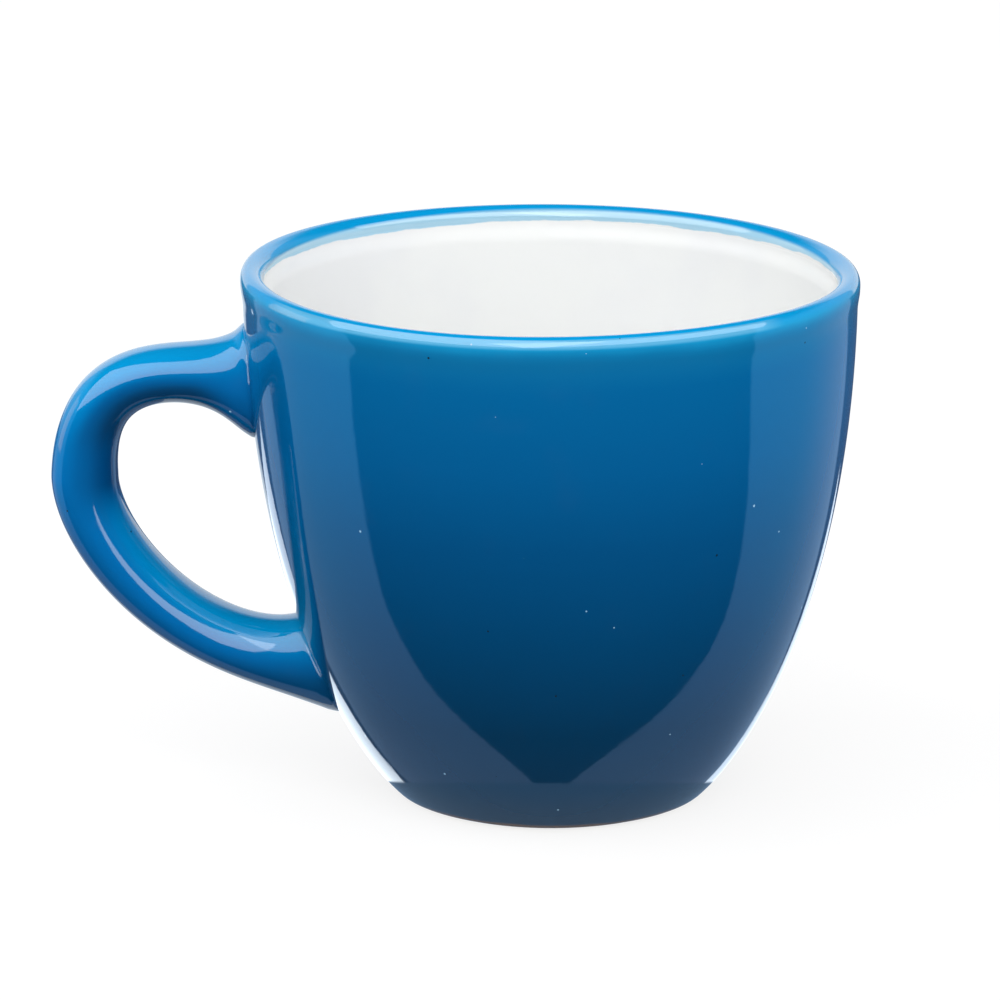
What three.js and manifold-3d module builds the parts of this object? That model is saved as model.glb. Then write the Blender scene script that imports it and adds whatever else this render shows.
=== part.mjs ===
// Espresso mug: a stoneware cup with a loop handle, white glaze inside and blue glaze outside.
// Millimetres, +Z up. The origin lies under the middle of the whole mug, on the surface it stands on.
// The cup's axis is upright and the handle points along -X.

import * as THREE from 'three';
import { mergeVertices } from 'three/addons/utils/BufferGeometryUtils.js';
import Module from 'manifold-3d';

// Finished cup, measured over the glaze
const cupHeight = 59.3;
const rimDiameter = 68;
const neckThickness = 2.75;
const lowThickness = 4;
const floorHeight = 5.6;

// Outer wall: a bowl that rises from the foot at an angle, then an almost upright side below the lip
const bowlAngle = THREE.MathUtils.degToRad(39);
const bowlLead = 5.2;
const sideLean = THREE.MathUtils.degToRad(1.4);
const sideLead = 35.2;

// Lip: a round bead that stands a little proud of the side
const lipRadius = 1.28;
const lipOverhang = 0.365;
const lipDrop = 4.2;
const lipBlend = 1.2;

// Inside: a small shoulder under the lip, and where the upright wall turns into the dished floor
const shoulderRise = 0.9;
const shoulderBlend = 0.5;
const floorTurn = 0.443;
const floorTurnLead = 7;
const floorFlat = 9;

// Foot ring, left bare, with a shallow recess inside it
const footDiameter = 33;
const footRingWidth = 2.6;
const footRecess = 1.3;
const footChamfer = 0.35;
const footBareHeight = 0.5;

// Coats of fired glaze, and the gap kept between any two pieces
const glazeThickness = 0.4;
const clearance = 0.1;
const blueBelowLip = 0.3;

// Handle: the centre line leaves the wall at the upper root, bends round and comes back at the lower root
const handleProjection = 21.3;
const upperRootDrop = 12.3;
const upperRootSink = 0.3;
const upperDip = THREE.MathUtils.degToRad(6.4);
const upperLead = 4.3;
const bendDrop = 11.3;
const bendLeadUp = 15.7;
const bendLeadDown = 7.3;
const lowerRootHeight = 14.7;
const lowerRootSink = 0.7;
const lowerLead = 15.7;
const rootEmbed = 6;

// Handle section: an oval, thinner at the upper root, that flares where it meets the wall
const upperThickness = 5;
const bendThickness = 7.4;
const lowerThickness = 6;
const handleDepth = 8.6;
const sectionFullness = 2.3;
const upperFlare = 4.8;
const upperFlareLength = 3;
const lowerFlare = 3.2;
const lowerFlareLength = 4.7;
const depthFlare = 1.1;

// Slip that glues the roots to the wall
const slipThickness = 0.6;

// Facets
const turnSegments = 48;
const handleSides = 18;
const upperRings = 14;
const lowerRings = 16;
const wallSteps = 10;
const lipSteps = 6;
const blendSteps = 2;
const innerSteps = 5;
const floorSteps = 5;

const rimRadius = rimDiameter / 2;
const footRadius = footDiameter / 2;
const coatBuild = glazeThickness + clearance;
const lipCentreRadius = rimRadius - lipRadius;
const lipCentreHeight = cupHeight - lipRadius;
const lipInnerRadius = rimRadius - 2 * lipRadius;

const wasm = await Module();
wasm.setup();

const at = (r, z) => new THREE.Vector2(r, z);
const step = (from, direction, length) => from.clone().addScaledVector(direction, length);

// Section of the finished cup

const footPoint = at(footRadius + coatBuild, 0);
const neckPoint = at(rimRadius - lipOverhang, cupHeight - lipDrop);
const bowlDirection = at(Math.cos(bowlAngle), Math.sin(bowlAngle));
const sideDirection = at(Math.sin(sideLean), Math.cos(sideLean));
const outerWall = new THREE.CubicBezierCurve(
  footPoint,
  step(footPoint, bowlDirection, bowlLead),
  step(neckPoint, sideDirection, -sideLead),
  neckPoint,
);

// A point on the finished surface with the direction that points out of the clay there
function surfacePoint(curve, t) {
  const tangent = curve.getTangent(t);
  return { point: curve.getPoint(t), normal: at(tangent.y, -tangent.x) };
}

function surfacePoints(curve, steps, from = 0, to = 1) {
  const points = [];
  for (let i = 0; i <= steps; i += 1) {
    points.push(surfacePoint(curve, from + ((to - from) * i) / steps));
  }
  return points;
}

// The inside of the wall follows the outside, one thickness in; the wall grows thicker towards the floor
function insidePoint(t) {
  const outside = surfacePoint(outerWall, t);
  const normal = outside.normal.clone().negate();
  const thickness = THREE.MathUtils.mapLinear(t, floorTurn, 1, lowThickness, neckThickness);
  return { point: step(outside.point, normal, thickness), normal };
}

// Where along the outer wall a height is reached, found by halving
const halvings = 40;
function wallTurnAt(height) {
  let low = 0;
  let high = 1;
  for (let i = 0; i < halvings; i += 1) {
    const middle = (low + high) / 2;
    if (outerWall.getPoint(middle).y < height) low = middle;
    else high = middle;
  }
  return (low + high) / 2;
}
const wallRadiusAt = (height) => outerWall.getPoint(wallTurnAt(height)).x;

const lipOuterEnd = at(rimRadius, lipCentreHeight);
const lipSwell = new THREE.CubicBezierCurve(
  neckPoint,
  step(neckPoint, sideDirection, lipBlend),
  at(rimRadius, lipCentreHeight - lipBlend),
  lipOuterEnd,
);
const lipRound = new THREE.EllipseCurve(lipCentreRadius, lipCentreHeight, lipRadius, lipRadius, 0, Math.PI);
const inward = at(-1, 0);
const blueEnd = { point: at(lipInnerRadius, lipCentreHeight - blueBelowLip), normal: inward };
const whiteStart = { point: at(lipInnerRadius, blueEnd.point.y - clearance), normal: inward };

const insideTop = step(insidePoint(1).point, sideDirection, shoulderRise);
const insideShoulder = new THREE.CubicBezierCurve(
  whiteStart.point,
  at(lipInnerRadius, whiteStart.point.y - shoulderBlend),
  step(insideTop, sideDirection, shoulderBlend),
  insideTop,
);
const floorStart = insidePoint(floorTurn);
const floorCentre = at(0, floorHeight);
const floorDish = new THREE.CubicBezierCurve(
  floorStart.point,
  step(floorStart.point, at(floorStart.normal.y, -floorStart.normal.x).negate(), floorTurnLead),
  at(floorFlat, floorHeight),
  floorCentre,
);

const outsideSkin = [
  ...surfacePoints(outerWall, wallSteps, wallTurnAt(footBareHeight)),
  ...surfacePoints(lipSwell, blendSteps).slice(1),
  ...surfacePoints(lipRound, lipSteps).slice(1),
];
const blueSkin = [...outsideSkin, blueEnd];
const innerWall = [];
for (let i = 1; i <= innerSteps; i += 1) {
  innerWall.push(insidePoint(1 + ((floorTurn - 1) * i) / innerSteps));
}
const whiteSkin = [
  whiteStart,
  ...surfacePoints(insideShoulder, blendSteps).slice(1),
  ...innerWall,
  ...surfacePoints(floorDish, floorSteps).slice(1),
];

// The skin moved a depth into the clay; points on the axis stay on it
function sink(skin, depth) {
  return skin.map(({ point, normal }) => {
    const moved = step(point, normal, -depth);
    if (point.x === 0) moved.x = 0;
    return moved;
  });
}

// Solids

// Keep only the positions, join shared corners and drop the triangles that closed up on the axis
function weld(geometry) {
  geometry.deleteAttribute('normal');
  geometry.deleteAttribute('uv');
  const welded = mergeVertices(geometry);
  const corners = welded.index.array;
  const kept = [];
  for (let i = 0; i < corners.length; i += 3) {
    const [a, b, c] = corners.subarray(i, i + 3);
    if (a !== b && b !== c && c !== a) kept.push(a, b, c);
  }
  welded.setIndex(kept);
  return welded;
}

// Turn a profile about the cup's axis; the material lies to the left of the profile's direction
function turned(profile) {
  const geometry = new THREE.LatheGeometry(profile, turnSegments);
  geometry.rotateX(Math.PI / 2);
  return weld(geometry);
}

function solidOf(geometry) {
  return new wasm.Manifold(new wasm.Mesh({
    numProp: 3,
    vertProperties: new Float32Array(geometry.attributes.position.array),
    triVerts: new Uint32Array(geometry.index.array),
  }));
}

function geometryOf(solid) {
  const { vertProperties, triVerts } = solid.getMesh();
  const geometry = new THREE.BufferGeometry();
  geometry.setAttribute('position', new THREE.BufferAttribute(vertProperties, 3));
  geometry.setIndex(new THREE.BufferAttribute(triVerts, 1));
  return geometry;
}

// A ring of glaze between the skin and a depth below it
function coatRing(skin, depth) {
  const profile = [...sink(skin, 0), ...sink(skin, depth).reverse()];
  return turned([...profile, profile[0].clone()]);
}

// The whole cup without its hollow, with its outside moved a depth into the clay
function filledCup(depth) {
  const wall = sink(outsideSkin, depth);
  const foot = wall[0];
  const top = Math.max(...wall.map((point) => point.y));
  const outside = wall.filter((point) => point.x > lipCentreRadius || point.y < lipCentreHeight);
  return solidOf(turned([at(0, 0), at(foot.x, 0), ...outside, at(lipCentreRadius, top), at(0, top)]));
}

// Handle centre line, in the plane of the handle: x runs away from the cup's axis along -X

const upperRootHeight = cupHeight - upperRootDrop;
const upperRoot = at(upperRootSink - wallRadiusAt(upperRootHeight), upperRootHeight);
const upperDirection = at(-Math.cos(upperDip), -Math.sin(upperDip));
const bend = at(bendThickness / 2 - rimRadius - handleProjection, upperRootHeight - bendDrop);
const lowerRoot = at(lowerRootSink - wallRadiusAt(lowerRootHeight), lowerRootHeight);
const lowerDirection = at(1, 0);
const upperArm = new THREE.CubicBezierCurve(
  upperRoot,
  step(upperRoot, upperDirection, upperLead),
  at(bend.x, bend.y + bendLeadUp),
  bend,
);
const lowerArm = new THREE.CubicBezierCurve(
  bend,
  at(bend.x, bend.y - bendLeadDown),
  step(lowerRoot, lowerDirection, -lowerLead),
  lowerRoot,
);

// Stations along the centre line, each with its oval; the share runs from 0 at a root to 1 at the bend
function handleStations() {
  const stations = [
    ...surfacePoints(upperArm, upperRings),
    ...surfacePoints(lowerArm, lowerRings).slice(1),
  ];
  let travelled = 0;
  stations.forEach((station, i) => {
    if (i > 0) travelled += station.point.distanceTo(stations[i - 1].point);
    station.travelled = travelled;
  });
  const atBend = stations[upperRings].travelled;
  return stations.map((station) => {
    const before = station.travelled < atBend;
    const share = before ? station.travelled / atBend : (travelled - station.travelled) / (travelled - atBend);
    const rootThickness = before ? upperThickness : lowerThickness;
    const thickness = THREE.MathUtils.lerp(rootThickness, bendThickness, share);
    const upper = Math.exp(-station.travelled / upperFlareLength);
    const lower = Math.exp(-(travelled - station.travelled) / lowerFlareLength);
    return {
      point: station.point,
      normal: station.normal,
      halfThickness: thickness / 2 + upperFlare * upper + lowerFlare * lower,
      halfDepth: handleDepth / 2 + depthFlare * (upper + lower),
    };
  });
}

const roundTo = (value) => Math.sign(value) * Math.abs(value) ** (2 / sectionFullness);

// The handle as a loft of ovals, drawn in by an inset, with both ends run on into the wall
function handleLoft(inset) {
  const stations = handleStations();
  const first = { ...stations[0], point: step(upperRoot, upperDirection, -rootEmbed) };
  const last = { ...stations.at(-1), point: step(lowerRoot, lowerDirection, rootEmbed) };
  const rings = [first, ...stations, last];
  const positions = [];
  const corners = [];
  rings.forEach(({ point, normal, halfThickness, halfDepth }) => {
    for (let i = 0; i < handleSides; i += 1) {
      const angle = (2 * Math.PI * i) / handleSides;
      const out = step(point, normal, (halfThickness - inset) * roundTo(Math.cos(angle)));
      positions.push(out.x, (halfDepth - inset) * roundTo(Math.sin(angle)), out.y);
    }
  });
  const index = (ring, side) => ring * handleSides + (side % handleSides);
  for (let ring = 0; ring < rings.length - 1; ring += 1) {
    for (let side = 0; side < handleSides; side += 1) {
      const [a, b] = [index(ring, side), index(ring, side + 1)];
      const [c, d] = [index(ring + 1, side), index(ring + 1, side + 1)];
      corners.push(a, b, c, b, d, c);
    }
  }
  for (let side = 1; side < handleSides - 1; side += 1) {
    corners.push(index(0, 0), index(0, side + 1), index(0, side));
    const end = rings.length - 1;
    corners.push(index(end, 0), index(end, side), index(end, side + 1));
  }
  const geometry = new THREE.BufferGeometry();
  geometry.setAttribute('position', new THREE.Float32BufferAttribute(positions, 3));
  geometry.setIndex(corners);
  return solidOf(geometry);
}

// Sub-parts

function cupBody() {
  const ringInner = footRadius - footRingWidth;
  const wall = sink([...blueSkin, ...whiteSkin.slice(1)], coatBuild);
  return turned([
    at(0, footRecess),
    at(ringInner - footChamfer, footRecess),
    at(ringInner, footChamfer),
    at(ringInner + footChamfer, 0),
    at(footRadius, 0),
    ...wall,
  ]);
}

function handle() {
  return geometryOf(handleLoft(coatBuild).subtract(filledCup(coatBuild - slipThickness)));
}

// The slip fills the gap between wall and root; a height apart from the other root picks out one pad
function slipJoint(upper) {
  const pads = handleLoft(coatBuild)
    .intersect(filledCup(coatBuild - slipThickness + clearance))
    .subtract(filledCup(coatBuild - clearance));
  const pad = pads.decompose().find((piece) => {
    const { min, max } = piece.boundingBox();
    return (min[2] + max[2]) / 2 > bend.y === upper;
  });
  return geometryOf(pad);
}

function outerGlaze() {
  const roots = handleLoft(0).subtract(filledCup(glazeThickness / 2));
  const coat = solidOf(coatRing(blueSkin, glazeThickness)).add(roots);
  return geometryOf(coat.subtract(handleLoft(glazeThickness)));
}

function linerGlaze() {
  return turned([...sink(whiteSkin, glazeThickness).reverse(), ...sink(whiteSkin, 0)]);
}

function baseGlaze() {
  const top = footRecess - clearance;
  const radius = footRadius - footRingWidth - footChamfer - clearance;
  return turned([at(0, top - glazeThickness), at(radius, top - glazeThickness), at(radius, top), at(0, top)]);
}

// Finishes

const stoneware = { color: 0xc4ab8c, roughness: 0.85, metalness: 0 };
const slip = { color: 0xb89c7c, roughness: 0.9, metalness: 0 };
const blueGlaze = { color: 0x0f6aa3, roughness: 0.12, metalness: 0 };
const whiteGlaze = { color: 0xeeeeea, roughness: 0.15, metalness: 0 };

const mug = new THREE.Group();
mug.position.x = handleProjection / 2;

function addPiece(name, geometry, finish) {
  const mesh = new THREE.Mesh(geometry, new THREE.MeshStandardMaterial(finish));
  mesh.name = name;
  mug.add(mesh);
}

addPiece('cup_body', cupBody(), stoneware);
addPiece('handle', handle(), stoneware);
addPiece('upper_slip_joint', slipJoint(true), slip);
addPiece('lower_slip_joint', slipJoint(false), slip);
addPiece('outer_glaze', outerGlaze(), blueGlaze);
addPiece('liner_glaze', linerGlaze(), whiteGlaze);
addPiece('base_glaze', baseGlaze(), blueGlaze);

export default mug;
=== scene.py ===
# %% [markdown]
# # An espresso mug, dressed for its photograph
# The mug is small stoneware: a turned cup with a loop handle, white glaze inside and blue glaze outside.
# The packed CAD model comes in first and stays fixed. Every piece made here sits in its frame, in metres,
# so nothing has to be fitted by eye.

# %% Load the frame
import math
from types import SimpleNamespace
import bpy
import numpy as np
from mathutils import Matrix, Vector


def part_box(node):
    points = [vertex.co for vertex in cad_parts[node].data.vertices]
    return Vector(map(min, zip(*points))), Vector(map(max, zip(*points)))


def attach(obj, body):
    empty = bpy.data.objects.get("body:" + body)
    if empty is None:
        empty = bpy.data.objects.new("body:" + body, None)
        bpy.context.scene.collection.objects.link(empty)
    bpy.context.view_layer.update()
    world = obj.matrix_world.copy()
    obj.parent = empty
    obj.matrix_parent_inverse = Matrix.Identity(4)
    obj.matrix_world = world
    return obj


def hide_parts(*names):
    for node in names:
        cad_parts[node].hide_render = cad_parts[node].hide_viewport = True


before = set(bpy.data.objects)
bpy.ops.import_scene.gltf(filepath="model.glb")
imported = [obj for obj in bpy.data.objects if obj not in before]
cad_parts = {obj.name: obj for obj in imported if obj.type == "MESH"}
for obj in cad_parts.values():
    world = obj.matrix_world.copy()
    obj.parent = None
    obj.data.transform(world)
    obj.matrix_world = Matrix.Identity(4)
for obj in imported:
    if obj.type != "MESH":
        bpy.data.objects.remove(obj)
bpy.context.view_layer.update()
bpy.context.scene.view_settings.view_transform = "Standard"
print("nodes in the frame:", sorted(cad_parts))

# %% [markdown]
# The cup's main sizes are read from the frame. The blue coat covers the widest and the tallest place of the
# mug, and the handle points along -X, so the coat's box gives the rim, the height and where the cup's axis
# stands. The outlines below are drawn in millimetres, as a potter would measure them.

# %% Main sizes from the frame
mm = 0.001
coat_low, coat_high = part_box("outer_glaze")
rim_radius = (coat_high.y - coat_low.y) / 2 / mm
cup_height = coat_high.z / mm
axis_x = coat_high.x / mm - rim_radius
handle_reach = axis_x - rim_radius - coat_low.x / mm
print(f"rim radius {rim_radius:.2f}, height {cup_height:.2f}, axis at x {axis_x:.2f}")
print(f"the handle reaches {handle_reach:.2f} past the rim")

# %% [markdown]
# ## Camera
# The photograph was taken with a long lens from a little above the rim. The camera's place and lens were
# worked out from the ellipses of the rim and the foot, so the mug falls on the same spot of the picture.

# %% Camera
eye_distance = 674.56
eye_height = 216.98
look_down = math.radians(15.27)
look_left = math.radians(0.48)
lens_length = 227.3

camera_data = bpy.data.cameras.new("photo_camera")
camera_data.lens = lens_length
camera = bpy.data.objects.new("photo_camera", camera_data)
camera.location = Vector((axis_x, -eye_distance, eye_height)) * mm
camera.rotation_euler = (math.pi / 2 - look_down, 0, look_left)
bpy.context.scene.collection.objects.link(camera)
bpy.context.scene.camera = camera
print("camera stands", round(camera.location.length, 3), "m from the frame's origin")

# %% [markdown]
# ## Shader arithmetic
# A glaze is a recipe of masks and colours, and recipes are easier to read as sums than as a web of nodes.
# One small class holds an output socket. Adding, multiplying or comparing two of them adds the Math node.
# Colours go through a Mix node, because a Math node would turn them grey. That node has sockets for
# numbers, vectors and colours, so its colours are named by their places among them.

# %% The wire
mix_without = 6
mix_within = 7
mix_result = 2


class Wire:
    """An output socket in a node tree. Arithmetic on wires adds Math nodes."""

    def __init__(self, tree, socket=None):
        self.tree = tree
        self.socket = socket

    def node(self, kind, settings=None, sockets=None, out=0):
        """Add a node: its settings first, then a value or a wire for each socket."""
        made = self.tree.nodes.new(kind)
        for name, value in (settings or {}).items():
            if name == "stops":
                fill_ramp(made.color_ramp, value)
            else:
                setattr(made, name, value)
        for name, value in (sockets or {}).items():
            if isinstance(value, Wire):
                self.tree.links.new(value.socket, made.inputs[name])
            else:
                made.inputs[name].default_value = value
        return Wire(self.tree, made.outputs[out] if made.outputs else None)

    def out(self, name):
        """Another output of the same node."""
        return Wire(self.tree, self.socket.node.outputs[name])

    def math(self, operation, *values):
        """A Math node on wires and numbers."""
        return self.node("ShaderNodeMath", {"operation": operation}, dict(enumerate(values)))

    def __add__(self, other):
        return self.math("ADD", self, other)

    def __sub__(self, other):
        return self.math("SUBTRACT", self, other)

    def __rsub__(self, other):
        return self.math("SUBTRACT", other, self)

    def __mul__(self, other):
        return self.math("MULTIPLY", self, other)

    def __truediv__(self, other):
        return self.math("DIVIDE", self, other)

    def __lt__(self, other):
        return self.math("LESS_THAN", self, other)

    __radd__ = __add__
    __rmul__ = __mul__

    def rise(self, low, high):
        """0 below low, 1 above high, and a smooth step between them."""
        limits = {"Value": self, "From Min": low, "From Max": high}
        return self.node("ShaderNodeMapRange", {"interpolation_type": "SMOOTHSTEP"}, limits)

    def tint(self, without, within):
        """One colour where this mask is 0 and another where it is 1."""
        colours = {0: self, mix_without: without, mix_within: within}
        return self.node("ShaderNodeMix", {"data_type": "RGBA"}, colours, mix_result)

    def vector(self, operation, other=None, out=0):
        """Vector arithmetic with another vector, or on this one alone."""
        inputs = {0: self} if other is None else {0: self, 1: other}
        return self.node("ShaderNodeVectorMath", {"operation": operation}, inputs, out)

    def stretched(self, x, y, z):
        """A vector scaled along each axis."""
        return self.vector("MULTIPLY", (x, y, z))

    def parts(self):
        """A vector's X, Y and Z, as outputs of one node."""
        return self.node("ShaderNodeSeparateXYZ", {}, {0: self})


def fill_ramp(ramp, stops):
    """Set a colour ramp's stops, given as (position, colour)."""
    while len(ramp.elements) < len(stops):
        ramp.elements.new(1)
    for element, (position, colour) in zip(ramp.elements, stops):
        element.position = position
        element.color = colour


print("a wire can", [name for name in vars(Wire) if not name.startswith("_")])

# %% [markdown]
# Colours are written as a paint program shows them, because that is how they are compared with a
# photograph. Shaders reckon in linear light, so each colour is converted once, by the curve that
# screens use: straight in the darks and a power above. Every finish starts from an empty Principled
# shader.

# %% Colours and finishes
top_level = 255
straight_end = 0.04045
straight_slope = 12.92
power_shift = 0.055
power = 2.4


def screen(red, green, blue):
    """A colour as a paint program shows it, 0 to 255, in the linear values that shaders use."""
    shares = np.array([red, green, blue]) / top_level
    curved = ((shares + power_shift) / (1 + power_shift)) ** power
    linear = np.where(shares > straight_end, curved, shares / straight_slope)
    return (*linear.tolist(), 1)


def new_finish(name):
    """A material with an empty Principled shader: the material, the shader and a wire to start from."""
    material = bpy.data.materials.new(name)
    material.use_nodes = True
    return material, material.node_tree.nodes["Principled BSDF"], Wire(material.node_tree)


def feed(shader, socket, wire):
    """Link a wire to one of the shader's own sockets."""
    wire.tree.links.new(wire.socket, shader.inputs[socket])


def object_place(start):
    """Position on a piece, in millimetres from its origin."""
    return start.node("ShaderNodeTexCoord").out("Object").stretched(1 / mm, 1 / mm, 1 / mm)


middle_grey = screen(128, 128, 128)
print("half way up the screen's scale is", round(middle_grey[0], 3), "in linear light")

# %% [markdown]
# ## Studio
# A glossy glaze shows the studio it stands in, so the studio is built from what the glaze reflects in the
# photograph. Big softboxes stand above and in front, to the left and to the right. A lamp in a render may
# light without showing, or show without lighting, so the right side has two: a large one that only lights,
# and a flatter one whose reflection is the bright band high on the bowl.

# %% Lamps
lamp_distance = 1.6


def softbox(name, azimuth, elevation, half_width, half_height, glow, lights=True, shows=True):
    """A flat lamp seen from the mug at two angles, with its half widths as angles too.

    It lights the mug, or shows in the glaze, or both."""
    wide = 2 * lamp_distance * math.tan(math.radians(half_width))
    tall = 2 * lamp_distance * math.tan(math.radians(half_height))
    lamp = bpy.data.lights.new(name, "AREA")
    lamp.shape = "RECTANGLE"
    lamp.size = wide
    lamp.size_y = tall
    lamp.energy = glow * math.pi * wide * tall
    stand = bpy.data.objects.new(name, lamp)
    turn = math.radians(azimuth)
    lift = math.radians(elevation)
    way = Vector((math.sin(turn) * math.cos(lift), -math.cos(turn) * math.cos(lift), math.sin(lift)))
    stand.location = way * lamp_distance
    stand.rotation_euler = (math.pi / 2 - lift, 0, turn)
    stand.visible_camera = False
    stand.visible_diffuse = lights
    stand.visible_glossy = shows
    bpy.context.scene.collection.objects.link(stand)
    print(f"{name}: {wide:.2f} by {tall:.2f} m, {lamp.energy:.0f} W")
    return stand


softbox("left_softbox", azimuth=-45, elevation=47, half_width=42, half_height=27, glow=1.75)
softbox("right_softbox", azimuth=38, elevation=28, half_width=46, half_height=30, glow=1.4, shows=False)
band = softbox("right_band", azimuth=38, elevation=43, half_width=46, half_height=18, glow=1.9, lights=False)

# %% [markdown]
# The walls of the studio are the world's colour. A direction is known by how far it is turned, from -1
# at the front of the room to 1 at the back, and by how steeply it points up or down. The table is
# polished, so the front and the sides show again below the horizon, and their edges only ask how
# steep a direction is.

# %% Directions in the studio
turn_soft = 0.012

world = bpy.data.worlds.new("studio")
world.use_nodes = True
bpy.context.scene.world = world
air = Wire(world.node_tree)
way = air.node("ShaderNodeTexCoord").out("Generated")
way_parts = way.parts()
turn_back = way_parts.out("Y") / way.stretched(1, 1, 0).vector("LENGTH", out="Value")
rising = way_parts.out("Z")
steep = air.math("ABSOLUTE", rising)
on_left = way_parts.out("X") < 0


def turned_past(edge):
    """1 where a direction is turned further back than an edge."""
    return (turn_back - edge).rise(-turn_soft, turn_soft)


print("the edges of the walls are soft over a turn of", 2 * turn_soft)

# %% [markdown]
# The front of the room is dark, so the middle of the bowl shows the glaze's own colour. Cool sides
# begin where a direction turns away from the front. Their edge moves for steep directions, and that
# draws the curved line between the bowl's dark middle and its pale flanks.

# %% Mirrored front and sides
dark_front = (0.008, 0.008, 0.008, 1)
cool_side = (0.15, 0.5, 0.84, 1)
pale_side = (0.34, 0.52, 0.78, 1)
low_side = (0.22, 0.32, 0.5, 1)
pale_turn = (0.3, 0.9)
low_steep = (0.3, 0.7)
front_turn = -0.16
front_easing = 0.09
easing_steep = (0.25, 0.6)
front_closing = 4.5
closing_steep = 0.55
front_skew = 0.09
skew_steep = (0.25, 0.65)

level_side = turn_back.rise(*pale_turn).tint(cool_side, pale_side)
side_look = steep.rise(*low_steep).tint(level_side, low_side)
steeper = air.math("MAXIMUM", steep - closing_steep, 0)
skewed = front_skew * way_parts.out("X") * steep.rise(*skew_steep)
eased_edge = front_turn + front_easing * steep.rise(*easing_steep)
front_edge = eased_edge - front_closing * steeper * steeper + skewed
front_and_side = turned_past(front_edge).tint(dark_front, side_look)
print("the sides begin at a turn of", front_turn, "and mirror as", cool_side[:3])

# %% [markdown]
# Towards the back the sides end in a dark gap, which leaves a thin dark line near each edge of the
# cup. Below the horizon on the left, the pale sheet behind the mug follows the gap. Above the horizon
# stand a white wall straight behind and a white panel at the left, and overhead the room is dim.

# %% Mirrored back and top
gap_colour = (0.07, 0.11, 0.2, 1)
sheet_white = (0.78, 0.89, 1, 1)
white = (1, 1, 1, 1)
dim_top = (0.015, 0.015, 0.015, 1)
back_turn = 0.96
back_widening = 0.115
widening_steep = (0.28, 0.54)
gap_turn_left = 0.7
gap_turn_right = 0.757
gap_slant = 0.42
gap_least = 0.045
back_turn_above = 0.86
panel_near = 0.17
panel_far = 0.57
panel_top = (0.3, 0.34)
horizon = (-0.12, -0.08)
top_rise = (0.35, 0.6)

back_edge = back_turn - back_widening * steep.rise(*widening_steep)
gap_left = air.math("MINIMUM", gap_turn_left + gap_slant * steep, back_edge - gap_least)
gap_right = gap_turn_right + gap_slant * steep
gap_edge = gap_right + (gap_left - gap_right) * on_left
with_gap = turned_past(gap_edge).tint(front_and_side, gap_colour)
below = (on_left * turned_past(back_edge)).tint(with_gap, sheet_white)
whole_panel = on_left * turned_past(panel_near) * (1 - turned_past(panel_far))
panel = whole_panel * (1 - rising.rise(*panel_top))
above = (turned_past(back_turn_above) + panel).tint(front_and_side, white)
round_about = rising.rise(*horizon).tint(below, above)
mirror_look = rising.rise(*top_rise).tint(round_about, dim_top)
print("the dark gap begins at turns of", gap_turn_left, "on the left and", gap_turn_right, "on the right")

# %% [markdown]
# One world serves three kinds of rays. The camera sees plain white, as in a catalogue picture. Matt
# surfaces are lit from a white back wall that fades towards the front and overhead. Only the glaze
# sees the walls in detail.

# %% What each ray sees
back_light = 0.9
front_light = 0.06
light_turn = (-0.4, 0.2)
overhead_share = 0.75
overhead_rise = (0.1, 0.7)


def sky(colour, strength):
    """A plain glow from far away."""
    return air.node("ShaderNodeBackground", {}, {"Color": colour, "Strength": strength})


def either(share, first, second):
    """One shader where the share is 0 and the other where it is 1."""
    return share.node("ShaderNodeMixShader", {}, {0: share, 1: first, 2: second})


def from_mirror(path):
    """1 for a ray that comes from a mirror or a clear piece."""
    return path.out("Is Glossy Ray") + path.out("Is Transmission Ray")


light_level = front_light + (back_light - front_light) * way_parts.out("Y").rise(*light_turn)
light_level = light_level * (1 - (1 - overhead_share) * rising.rise(*overhead_rise))
path = air.node("ShaderNodeLightPath")
unseen = either(from_mirror(path), sky(white, light_level), sky(mirror_look, 1))
world_look = either(path.out("Is Camera Ray"), unseen, sky(white, 1))
feed(world.node_tree.nodes["World Output"], "Surface", world_look)
print("the back wall gives", back_light, "and the front", front_light)

# %% [markdown]
# The floor is a pale sheet. The camera sees it almost white, with a soft shadow left in it, because
# part of its light is its own glow and part is the lamps'. Mirror rays pass through it to the walls,
# as on a polished table, but for a painted shadow where the mug stands: a dim patch that glows. That
# patch is what the glaze shows just above the foot.

# %% Floor
floor_half = 3.0
floor_corners = [(-1, -1), (1, -1), (1, 1), (-1, 1)]
floor_colour = screen(225, 225, 225)
seen_colour = (0.22, 0.22, 0.22, 1)
seen_glow = 0.81
# painted shadow: the dim glow of the patch where the mug stands, seen only in the glaze
foot_shade = (0.17, 0.27, 0.41, 1)
shade_radius = 19
shade_forward = 5
shade_soft = 0.3

floor_finish, _, start = new_finish("pale_floor")
path = start.node("ShaderNodeLightPath")
matt_floor = start.node("ShaderNodeBsdfDiffuse", {}, {"Color": floor_colour})
clear_floor = start.node("ShaderNodeBsdfTransparent")
# the painted shadow, a dim glow that mirror rays see
painted_shadow_floor = start.node("ShaderNodeEmission", {}, {"Color": foot_shade})
from_shade = object_place(start).vector("DISTANCE", (axis_x, -shade_forward, 0), "Value")
outside_shade = from_shade.rise(shade_radius - shade_soft, shade_radius + shade_soft)
mirror_floor = either(outside_shade, painted_shadow_floor, clear_floor)
hidden_floor = either(from_mirror(path), matt_floor, mirror_floor)
lit_floor = start.node("ShaderNodeBsdfDiffuse", {}, {"Color": seen_colour})
floor_glow = start.node("ShaderNodeEmission", {}, {"Strength": seen_glow})
shown_floor = start.node("ShaderNodeAddShader", {}, {0: lit_floor, 1: floor_glow})
floor_look = either(path.out("Is Camera Ray"), hidden_floor, shown_floor)
feed(floor_finish.node_tree.nodes["Material Output"], "Surface", floor_look)

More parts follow.
